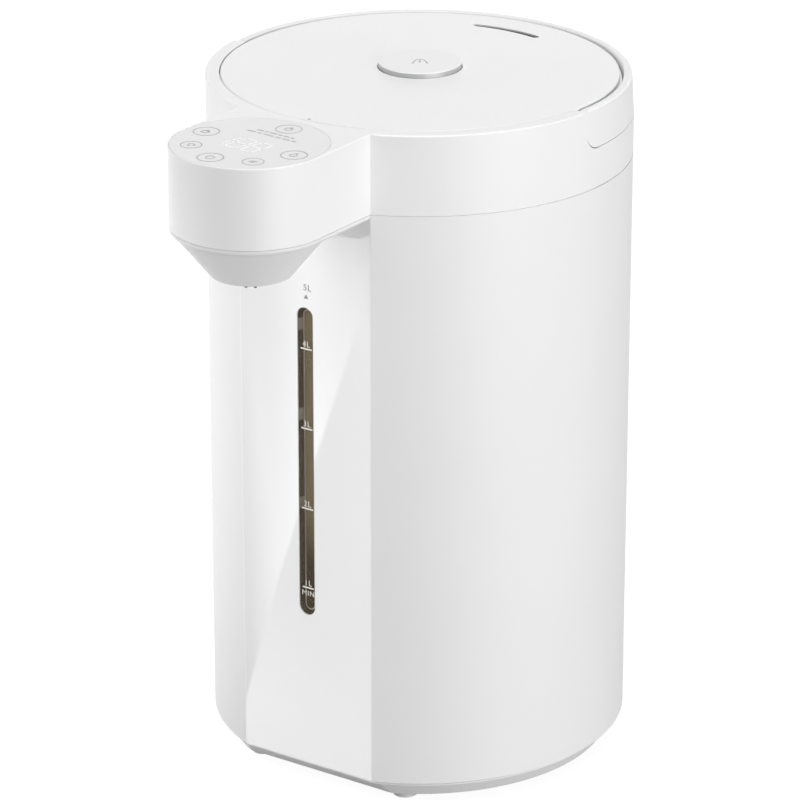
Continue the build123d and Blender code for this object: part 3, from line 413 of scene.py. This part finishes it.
def plastic_with_painted_side_shade(name, top_colour, side_shade_colour, roughness):
    """White on what faces up or down; the upright sides get a darker grey, which is painted shade, and
    are made partly metallic.
    """
    material = moulded_plastic(name, top_colour, roughness)
    tree = material.node_tree
    shader = tree.nodes["Principled BSDF"]
    geometry = tree.nodes.new("ShaderNodeNewGeometry")
    split = tree.nodes.new("ShaderNodeSeparateXYZ")
    tree.links.new(geometry.outputs["Normal"], split.inputs["Vector"])
    side = spread_range(tree, calculate(tree, "ABSOLUTE", split.outputs["Z"]), upright_ends)
    tint_where(tree, side, side_shade_colour, shader)
    vary_value(tree, side, 0.0, side_metallic, shader.inputs["Metallic"])
    return material


def printed_ink(name, colour):
    material, tree, shader = start_material(name)
    film = surface_noise(tree, ink_scale, grain_detail)
    vary_colour(tree, film, shaded(colour, ink_shade), colour, shader.inputs["Base Color"])
    vary_value(tree, film, *ink_roughness, shader.inputs["Roughness"])
    return material


def tinted_pane(name):
    material, tree, shader = start_material(name)
    shader.inputs["Alpha"].default_value = pane_alpha
    shader.inputs["Specular IOR Level"].default_value = pane_specular
    cloud = surface_noise(tree, pane_cloud_scale)
    vary_colour(tree, cloud, shaded(pane_brown, pane_shade), pane_brown, shader.inputs["Base Color"])
    vary_value(tree, cloud, *pane_roughness, shader.inputs["Roughness"])
    return material


def painted_shade_by_height(name, low_colour, high_colour, heights):
    """Painted light and shade: a brown that lightens with height, between two heights on the body."""
    material, tree, shader = start_material(name)
    rise = spread_range(tree, height_on_body(tree), heights)
    vary_colour(tree, rise, low_colour, high_colour, shader.inputs["Base Color"])
    cloud = surface_noise(tree, tray_cloud_scale)
    vary_value(tree, cloud, *tray_roughness, shader.inputs["Roughness"])
    shader.inputs["Specular IOR Level"].default_value = tray_specular
    return material


def wall_with_painted_reflections(name):
    """The dark tray wall, with painted shade from the height ramp and lighter bands at even steps of
    height, which are painted reflections of the litre marks.
    """
    material = painted_shade_by_height(name, tray_wall_painted_shade, tray_wall_painted_light, tray_wall_heights)
    tree = material.node_tree
    above = calculate(tree, "SUBTRACT", height_on_body(tree), band_low)
    wrapped = calculate(tree, "MODULO", above, band_pitch)
    inside = calculate(tree, "COMPARE", wrapped, band_height / 2, band_height / 2)
    tint_where(tree, inside, tray_wall_painted_reflection, tree.nodes["Principled BSDF"])
    return material


finishes = {
    "shell_white": moulded_plastic("shell_white", white_shell, 0.42),
    "panel_white": gloss_plastic("panel_white", white_panel, 0.03),
    "collar_white": moulded_plastic("collar_white", white_collar, 0.38),
    "lid_white": moulded_plastic("lid_white", white_lid, 0.45),
    "button_white": plastic_with_painted_side_shade("button_white", white_button, button_side_painted_shade, 0.36),
    "handle_white": moulded_plastic("handle_white", white_handle, 0.40),
    "base_grey": moulded_plastic("base_grey", grey_base, 0.50),
    "touch_grey": gloss_plastic("touch_grey", grey_touch, 0.30),
    "lens_brown": tinted_pane("lens_brown"),
    "clear_glass": clear_plastic("clear_glass", glass_tube, 0.04, 0.95),
    "steel": metal("steel", pot_steel, 0.28),
    "zinc_steel": metal("zinc_steel", zinc_grey, 0.35, all_ways),
    "nozzle_chrome": metal("nozzle_chrome", chrome_nozzle, 0.08, all_ways, 0.002 * mm),
    "clear_silicone": clear_plastic("clear_silicone", silicone_milky, 0.35, 0.55),
    "foot_rubber": moulded_plastic("foot_rubber", grey_foot, 0.80, 0.06 * mm, 900.0, 0.9),
    "dark_plastic": moulded_plastic("dark_plastic", plastic_dark, 0.45, variation=0.85),
    "frame_plastic": moulded_plastic("frame_plastic", plastic_frame, 0.50),
    "felt": felt_cloth("felt", felt_jacket),
    "heater_aluminium": metal("heater_aluminium", aluminium_heater, 0.45, all_ways, 0.05 * mm),
    "motor_steel": metal("motor_steel", steel_motor, 0.38),
    "sensor_brass": metal("sensor_brass", brass_sensor, 0.25),
    "board_green": moulded_plastic("board_green", green_board, 0.35, variation=0.8),
    "component_black": moulded_plastic("component_black", black_component, 0.45, variation=0.8),
    "wire_grey": moulded_plastic("wire_grey", grey_wire, 0.6, variation=0.85),
}
for subpart in frame["record"]["subparts"]:
    surface = nodes[subpart["node"]].data
    surface.materials.clear()
    surface.materials.append(finishes[subpart["material_slot"]])
# The cowl gets its own matt copy of the white with less specular, its colour a little darker than the
# collar's: painted shade under the head
cowl_matt_painted_shade = moulded_plastic("cowl_matt_painted_shade", cowl_white_painted_shade, cowl_roughness)
cowl_matt_painted_shade.node_tree.nodes["Principled BSDF"].inputs["Specular IOR Level"].default_value = cowl_specular
nodes["spout_cowl"].data.materials[0] = cowl_matt_painted_shade


# Ways to make pieces
def link_piece(name, form, materials):
    """Turns a bmesh into an object of the scene."""
    mesh = bpy.data.meshes.new(name)
    form.to_mesh(mesh)
    form.free()
    for material in materials:
        mesh.materials.append(material)
    piece = bpy.data.objects.new(name, mesh)
    bpy.context.scene.collection.objects.link(piece)
    return piece


def finish_piece(name, form, place, materials, body):
    """Turns a bmesh into an object in its place, riding on a body."""
    bmesh.ops.transform(form, matrix=place, verts=form.verts)
    piece = link_piece(name, form, materials)
    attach(piece, body)
    return piece


def raise_faces(form, faces, height):
    """Extrudes faces along +Z and returns the raised ones."""
    raised = bmesh.ops.extrude_face_region(form, geom=faces)["geom"]
    tops = [part for part in raised if isinstance(part, bmesh.types.BMVert)]
    bmesh.ops.translate(form, verts=tops, vec=(0.0, 0.0, height))
    return [part for part in raised if isinstance(part, bmesh.types.BMFace)]


def thicken_ink(form):
    """Gives flat printed shapes the thickness of a film of ink, upwards."""
    raise_faces(form, list(form.faces), ink_thickness)
    bmesh.ops.recalc_face_normals(form, faces=form.faces)


def round_edges(form, edges, size):
    bmesh.ops.bevel(
        form, geom=list(edges), offset=size, affect="EDGES", segments=2, profile=0.5, material=-1,
    )


def add_stroke(form, start, end, width):
    """A flat bar between two points."""
    start, end = Vector(start), Vector(end)
    along = end - start
    turn = Matrix.Rotation(math.atan2(along.y, along.x), 4, "Z")
    size = Matrix.Diagonal((along.length, width, 1.0, 1.0))
    place = Matrix.Translation(((start + end) / 2).to_3d()) @ turn @ size
    bmesh.ops.create_grid(form, x_segments=1, y_segments=1, size=0.5, matrix=place)


def add_arc(form, middle, radius, width, start=0.0, sweep=360.0, steps=40):
    """A flat ring or part of one, with angles in degrees."""
    closed = sweep >= 360.0
    first = Matrix.Rotation(math.radians(start), 3, "Z")
    centre = Vector((*middle, 0.0))
    inner = form.verts.new(centre + first @ Vector((radius - width / 2, 0.0, 0.0)))
    outer = form.verts.new(centre + first @ Vector((radius + width / 2, 0.0, 0.0)))
    edge = form.edges.new((inner, outer))
    bmesh.ops.spin(
        form, geom=[inner, outer, edge], cent=centre, axis=(0.0, 0.0, 1.0),
        angle=math.radians(sweep), steps=steps, use_merge=closed,
    )


def facing_front(x, y, z):
    return Matrix.Translation((x, y, z)) @ Matrix.Rotation(math.radians(90.0), 4, "X")


def text_piece(name, words, size, place, material, body):
    """Printed letters, centred on a place."""
    letters = bpy.data.curves.new(name, "FONT")
    letters.body = words
    letters.size = size
    letters.align_x = "CENTER"
    letters.space_character = letter_spacing
    letters.extrude = ink_thickness / 2
    source = bpy.data.objects.new(name + "_source", letters)
    bpy.context.scene.collection.objects.link(source)
    bpy.context.view_layer.update()
    mesh = bpy.data.meshes.new_from_object(source)
    bpy.data.objects.remove(source)
    form = bmesh.new()
    form.from_mesh(mesh)
    bpy.data.meshes.remove(mesh)
    bmesh.ops.translate(form, verts=form.verts, vec=(0.0, 0.0, ink_thickness / 2))
    return finish_piece(name, form, place, [material], body)


# Level window: a tinted pane in front of a sloped tray
window_low, window_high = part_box("level_window")
window_size = window_high - window_low
window_middle = (window_low.z + window_high.z) / 2
window_front = window_low.y
window_back = window_high.y


def add_slot_face(form, width, length):
    """A flat face with straight sides and round ends, lying along Y."""
    half_step = Matrix.Rotation(math.pi / slot_segments, 4, "Z")
    made = bmesh.ops.create_circle(
        form, cap_ends=True, segments=slot_segments, radius=width / 2, matrix=half_step,
    )
    straight = (length - width) / 2
    for vert in made["verts"]:
        vert.co.y += math.copysign(straight, vert.co.y)
    form.faces.ensure_lookup_table()
    return form.faces[0]


def make_window_tray():
    painted_highlight_slot, wall_brown, floor_brown = 0, 1, 2
    form = bmesh.new()
    flange = add_slot_face(form, window_size.x, window_size.z)
    covered, = raise_faces(form, [flange], lens_flange_thickness)
    bmesh.ops.inset_region(form, faces=[covered], thickness=lens_flange_width)
    cap, = raise_faces(form, [covered], window_size.y - lens_flange_thickness - pane_thickness)
    bmesh.ops.delete(form, geom=[covered], context="FACES_ONLY")
    bmesh.ops.inset_region(form, faces=[cap], thickness=tray_rim)
    for face in form.faces:
        face.material_index = wall_brown
    bmesh.ops.inset_region(form, faces=[cap], thickness=tray_slope, depth=-tray_depth)
    # The thin ring round the tray's floor is a painted highlight, drawn in an ink material
    rim = bmesh.ops.inset_region(form, faces=[cap], thickness=tray_highlight_width)
    for face in rim["faces"]:
        face.material_index = painted_highlight_slot
    cap.material_index = floor_brown
    bmesh.ops.recalc_face_normals(form, faces=form.faces)
    materials = [
        printed_ink("tray_painted_highlight", tray_painted_highlight),
        wall_with_painted_reflections("tray_wall"),
        painted_shade_by_height("tray_floor", tray_floor_painted_shade, tray_floor_painted_light, tray_floor_heights),
    ]
    place = facing_front(0.0, window_back, window_middle)
    tray = finish_piece("level_window_tray", form, place, materials, "body")
    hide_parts("level_window")


def make_window_pane():
    form = bmesh.new()
    around = 2 * lens_flange_width
    back = add_slot_face(form, window_size.x - around, window_size.z - around)
    front, = raise_faces(form, [back], pane_thickness)
    round_edges(form, front.edges, pane_bevel)
    bmesh.ops.recalc_face_normals(form, faces=form.faces)
    place = facing_front(0.0, window_front + pane_thickness, window_middle)
    pane = finish_piece("level_window_pane", form, place, [finishes["lens_brown"]], "body")
    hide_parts("level_window")


make_window_tray()
make_window_pane()


def make_panel_beads():
    """Fills the fine grooves between the panel and the shell, in a paler white than the panel, which is a
    painted highlight along its edges.
    """
    low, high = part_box("front_panel")
    size = Matrix.Diagonal((bead_size, bead_size, high.z - low.z, 1.0))
    form = bmesh.new()
    for edge in (low.x, high.x):
        middle = (edge, low.y + bead_recess + bead_size / 2, (low.z + high.z) / 2)
        bmesh.ops.create_cube(form, size=1.0, matrix=Matrix.Translation(middle) @ size)
    round_edges(form, form.edges, bead_bevel)
    bead = moulded_plastic("bead_painted_highlight", bead_white_painted_highlight, bead_roughness)
    finish_piece("panel_beads", form, Matrix.Identity(4), [bead], "body")


make_panel_beads()

# Printed marks on the window and the panel
cream = printed_ink("ink_cream", ink_cream)
white = printed_ink("ink_white", ink_white)
grey = printed_ink("ink_grey", ink_grey)
pale = printed_ink("ink_pale", ink_pale)
panel_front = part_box("front_panel")[0].y


def make_litre_marks():
    form = bmesh.new()
    half = mark_length / 2
    for height in litre_heights:
        add_stroke(form, (mark_middle - half, height), (mark_middle + half, height), mark_width)
    thicken_ink(form)
    place = facing_front(0.0, window_front, 0.0)
    finish_piece("litre_marks", form, place, [cream], "body")
    for litres, height in enumerate(litre_heights, start=1):
        place = facing_front(mark_middle, window_front, height + litre_text_rise)
        text_piece(f"litre_text_{litres}", f"{litres}L", litre_text, place, cream, "body")
    place = facing_front(mark_middle, window_front, litre_heights[0] - least_text_drop)
    text_piece("least_text", "MIN", least_text, place, cream, "body")


def make_full_mark():
    x, z = full_text_place
    place = facing_front(x, panel_front, z)
    text_piece("full_text", "5L", full_text, place, grey, "body")
    form = bmesh.new()
    bmesh.ops.create_circle(form, cap_ends=True, segments=3, radius=full_arrow_radius)
    thicken_ink(form)
    x, z = full_arrow_place
    place = facing_front(x, panel_front, z)
    finish_piece("full_arrow", form, place, [grey], "body")


make_litre_marks()
make_full_mark()

# Touch panel: keys, digits and notes
touch_low, touch_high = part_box("touch_panel")
touch_middle = (touch_low + touch_high) / 2
on_touch_panel = Matrix.Translation((touch_middle.x, touch_middle.y, touch_high.z))


# Key signs, drawn in shares of their size
def padlock(form, size):
    add_arc(form, (0.0, size * 0.15), size * 0.38, glyph_line, 0.0, 180.0, 12)
    side, low, high = size * 0.55, -size * 0.65, size * 0.15
    for x in (-side, side):
        add_stroke(form, (x, low), (x, high), glyph_line)
    for y in (low, high):
        add_stroke(form, (-side, y), (side, y), glyph_line)


def return_arrow(form, size):
    add_arc(form, (0.0, 0.0), size * 0.62, glyph_line, 30.0, 270.0, 18)
    tip = (size * 0.54, size * 0.31)
    add_stroke(form, tip, (size * 0.95, size * 0.2), glyph_line)
    add_stroke(form, tip, (size * 0.5, -size * 0.15), glyph_line)


def plain_circle(form, size):
    add_arc(form, (0.0, 0.0), size * 0.68, glyph_line)


def warm_strokes(form, size):
    lean, half = size * 0.2, size * 0.6
    for middle in (-size * 0.45, 0.0, size * 0.45):
        add_stroke(form, (middle - lean, -half), (middle + lean, half), glyph_line)


def water_drop(form, size):
    add_arc(form, (0.0, -size * 0.2), size * 0.55, glyph_line, 150.0, 240.0, 18)
    for side in (-1, 1):
        add_stroke(form, (side * size * 0.48, size * 0.08), (0.0, size * 0.85), glyph_line)


def ring_and_stroke(form, size):
    add_arc(form, (0.0, 0.0), size * 0.6, glyph_line)
    add_stroke(form, (0.0, size * 0.3), (0.0, size * 0.95), glyph_line)


key_glyphs = (padlock, return_arrow, plain_circle, warm_strokes, water_drop, ring_and_stroke)


def make_keys():
    upright = Matrix.Rotation(math.radians(key_turn), 4, "Z")
    for number, (angle, radius, draw_glyph) in enumerate(zip(key_angles, key_radii, key_glyphs), start=1):
        form = bmesh.new()
        add_arc(form, (0.0, 0.0), radius, key_line, steps=key_steps)
        draw_glyph(form, radius * glyph_share)
        thicken_ink(form)
        turn = math.radians(angle + key_turn)
        offset = Matrix.Translation((key_circle * math.sin(turn), -key_circle * math.cos(turn), 0.0))
        place = on_touch_panel @ offset @ upright
        finish_piece(f"touch_key_{number}", form, place, [pale], "body")


def make_digits():
    """Three display digits, each of the bars that are lit."""
    half_x, half_y = digit_width / 2, digit_height / 2
    inner_x, inner_y = half_x - digit_bar_gap, half_y - digit_bar_gap
    bars = {
        "top": ((-inner_x, half_y), (inner_x, half_y)),
        "bottom": ((-inner_x, -half_y), (inner_x, -half_y)),
        "left_high": ((-half_x, digit_bar_gap), (-half_x, inner_y)),
        "left_low": ((-half_x, -inner_y), (-half_x, -digit_bar_gap)),
        "right_high": ((half_x, digit_bar_gap), (half_x, inner_y)),
        "right_low": ((half_x, -inner_y), (half_x, -digit_bar_gap)),
        "middle": ((-inner_x, 0.0), (inner_x, 0.0)),
    }
    one = ("right_high", "right_low")
    eight = tuple(bars)
    form = bmesh.new()
    for number, lit in enumerate((one, eight, eight)):
        shift = Vector(((number - 1) * digit_pitch, 0.0))
        for bar in lit:
            start, end = bars[bar]
            add_stroke(form, Vector(start) + shift, Vector(end) + shift, digit_line)
    thicken_ink(form)
    slant = Matrix.Identity(4)
    slant[0][1] = digit_slant
    place = on_touch_panel @ Matrix.Translation((*digit_middle, 0.0))
    place = place @ Matrix.Rotation(math.radians(digit_turn), 4, "Z") @ slant
    finish_piece("display_digits", form, place, [white], "body")


def make_notes():
    """Fine print, shown as plain dashes."""
    form = bmesh.new()
    turn = Matrix.Rotation(math.radians(note_turn), 2)
    for x, y, length in note_lines:
        reach = 0.0
        for word in note_words:
            start = Vector((x, y)) + turn @ Vector((reach * length, 0.0))
            end = Vector((x, y)) + turn @ Vector(((reach + word) * length, 0.0))
            add_stroke(form, start, end, note_height)
            reach += word + note_gap
    thicken_ink(form)
    finish_piece("touch_notes", form, on_touch_panel, [pale], "body")


make_keys()
make_digits()
make_notes()


# Marks on the lid and its button
def make_lid_icon():
    """A lid with a round top and spread feet, and a short stroke inside it."""
    form = bmesh.new()
    half = lid_icon_width / 2
    line = lid_icon_line
    add_arc(form, (0.0, half * 0.1), half * 0.62, line, 15.0, 150.0, 20)
    for side in (-1, 1):
        add_stroke(form, (side * half * 0.60, half * 0.26), (side * half, -half), line)
        add_stroke(form, (side * half * 0.80, -half), (side * half * 1.08, -half), line * 1.4)
    add_stroke(form, (0.0, -half * 0.55), (0.0, half * 0.25), line * 1.6)
    thicken_ink(form)
    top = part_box("lid_button")[1].z
    place = Matrix.Translation((0.0, 0.0, top)) @ Matrix.Rotation(math.radians(lid_icon_turn), 4, "Z")
    finish_piece("lid_icon", form, place, [pale], "button")


def make_lid_dot():
    form = bmesh.new()
    bmesh.ops.create_circle(form, cap_ends=True, segments=lid_dot_segments, radius=lid_dot_radius)
    thicken_ink(form)
    rim_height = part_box("top_collar")[1].z
    place = Matrix.Translation((*lid_dot_place, rim_height + ink_thickness))
    finish_piece("lid_dot", form, place, [pale], "lid")


make_lid_icon()
make_lid_dot()


# Dark lugs in the notches of the spout's tip, standing for the dark reflections on the chrome tip:
# painted reflection
def make_tip_reflection_lugs():
    nozzle_low, nozzle_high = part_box("spout_nozzle")
    middle = (nozzle_low + nozzle_high) / 2
    length = tip_radius - tip_lug_inner
    size = Matrix.Diagonal((tip_lug_width, length, tip_lug_height, 1.0))
    out = Matrix.Translation((0.0, -tip_lug_inner - length / 2, tip_lug_height / 2))
    form = bmesh.new()
    for number in range(tip_lug_count):
        turn = Matrix.Rotation(math.tau * number / tip_lug_count, 4, "Z")
        bmesh.ops.create_cube(form, size=1.0, matrix=turn @ out @ size)
    round_edges(form, form.edges, tip_lug_bevel)
    place = Matrix.Translation((middle.x, middle.y, nozzle_low.z))
    finish_piece("spout_tip_reflection_lugs", form, place, [finishes["dark_plastic"]], "body")


make_tip_reflection_lugs()


# Coil under the lid button
def make_button_coil():
    """A coil of wire under the lid button, in place of the hidden spring part."""
    low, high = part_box("button_spring")
    radius = (high.x - low.x) / 2 - spring_wire
    steps = spring_turns * spring_turn_steps
    rise = (high.z - low.z - 2 * spring_wire) / steps
    start = facing_front(radius, 0.0, low.z + spring_wire)
    form = bmesh.new()
    bmesh.ops.create_circle(form, segments=spring_section, radius=spring_wire, matrix=start)
    bmesh.ops.spin(
        form, geom=form.verts[:] + form.edges[:], cent=(0.0, 0.0, 0.0), axis=(0.0, 0.0, 1.0),
        dvec=(0.0, 0.0, rise), angle=math.tau * spring_turns, steps=steps,
    )
    bmesh.ops.holes_fill(form, edges=form.edges)
    bmesh.ops.recalc_face_normals(form, faces=form.faces)
    wire = finishes["zinc_steel"]
    coil = finish_piece("button_coil", form, Matrix.Identity(4), [wire], "lid")
    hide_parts("button_spring")
    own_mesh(coil)


make_button_coil()


# Studio
def seen_rays(tree):
    """One where a camera, glossy or transmission ray looks, and nought for the light on the object."""
    path = tree.nodes.new("ShaderNodeLightPath").outputs
    seen = calculate(tree, "MAXIMUM", path["Is Camera Ray"], path["Is Glossy Ray"])
    return calculate(tree, "MAXIMUM", seen, path["Is Transmission Ray"])


def make_floor():
    form = bmesh.new()
    bmesh.ops.create_grid(form, x_segments=1, y_segments=1, size=floor_half_width)
    paper, tree, shader = start_material("floor_paper")
    shader.inputs["Base Color"].default_value = (floor_tone, floor_tone, floor_tone, 1.0)
    shader.inputs["Roughness"].default_value = floor_roughness
    shader.inputs["Specular IOR Level"].default_value = 0.0
    shader.inputs["Emission Color"].default_value = (1.0, 1.0, 1.0, 1.0)
    vary_value(tree, seen_rays(tree), 0.0, floor_glow, shader.inputs["Emission Strength"])
    floor = link_piece("floor", form, [paper])


def make_world():
    world = bpy.data.worlds.new("studio")
    world.use_nodes = True
    tree = world.node_tree
    background = tree.nodes["Background"]
    background.inputs["Color"].default_value = (1.0, 1.0, 1.0, 1.0)
    vary_value(tree, seen_rays(tree), sky_light, 1.0, background.inputs["Strength"])
    bpy.context.scene.world = world


def make_reflection_card(name, height, run, edge_glow, outer_glow):
    """A graded card just above the floor in front, seen only as a reflection in the gloss panel."""
    form = bmesh.new()
    brightness = form.verts.layers.float.new("brightness")
    line = [form.verts.new((x, y, height)) for x, y in card_edge]
    edges = [form.edges.new(pair) for pair in zip(line, line[1:])]
    made = bmesh.ops.extrude_edge_only(form, edges=edges)
    moved = [part for part in made["geom"] if isinstance(part, bmesh.types.BMVert)]
    moved.sort(key=lambda vert: -vert.co.y)
    bmesh.ops.translate(form, verts=moved, vec=(*run, 0.0))
    for verts, glows in ((line, edge_glow), (moved, outer_glow)):
        for vert, glow in zip(verts, glows):
            vert[brightness] = glow
    material, tree, shader = start_material(name)
    shader.inputs["Base Color"].default_value = (0.0, 0.0, 0.0, 1.0)
    shader.inputs["Emission Color"].default_value = (1.0, 1.0, 1.0, 1.0)
    share = tree.nodes.new("ShaderNodeAttribute")
    share.attribute_name = "brightness"
    tree.links.new(share.outputs["Fac"], shader.inputs["Emission Strength"])
    card = link_piece(name, form, [material])
    card.visible_camera = False
    card.visible_diffuse = False
    card.visible_transmission = False
    card.visible_shadow = False


def make_softbox(name, azimuth, elevation, distance, width, height, power):
    """A large lamp aimed at the body, its azimuth counted from the front towards the right."""
    lamp = bpy.data.lights.new(name, "AREA")
    lamp.shape = "RECTANGLE"
    lamp.size = width
    lamp.size_y = height
    lamp.energy = power
    turn, rise = math.radians(azimuth), math.radians(elevation)
    back = Vector((math.sin(turn) * math.cos(rise), -math.cos(turn) * math.cos(rise), math.sin(rise)))
    softbox = bpy.data.objects.new(name, lamp)
    softbox.location = Vector(softbox_target) + back * distance
    softbox.rotation_euler = (-back).to_track_quat("-Z", "Y").to_euler()
    softbox.visible_camera = False
    softbox.visible_glossy = name not in softboxes_not_mirrored
    bpy.context.scene.collection.objects.link(softbox)


def make_camera():
    lens = bpy.data.cameras.new("camera")
    lens.lens = camera_lens
    lens.sensor_width = camera_sensor
    camera = bpy.data.objects.new("camera", lens)
    camera.location = camera_place
    aim = Vector(camera_target) - Vector(camera_place)
    camera.rotation_euler = aim.to_track_quat("-Z", "Y").to_euler()
    bpy.context.scene.collection.objects.link(camera)
    bpy.context.scene.camera = camera


make_floor()
make_world()
make_reflection_card("left_card", left_card_height, left_card_run, left_edge_glow, left_outer_glow)
make_reflection_card("front_card", front_card_height, front_card_run, front_edge_glow, front_outer_glow)
for softbox_name, settings in softboxes.items():
    make_softbox(softbox_name, *settings)
make_camera()
bpy.context.scene.view_settings.view_transform = "Standard"
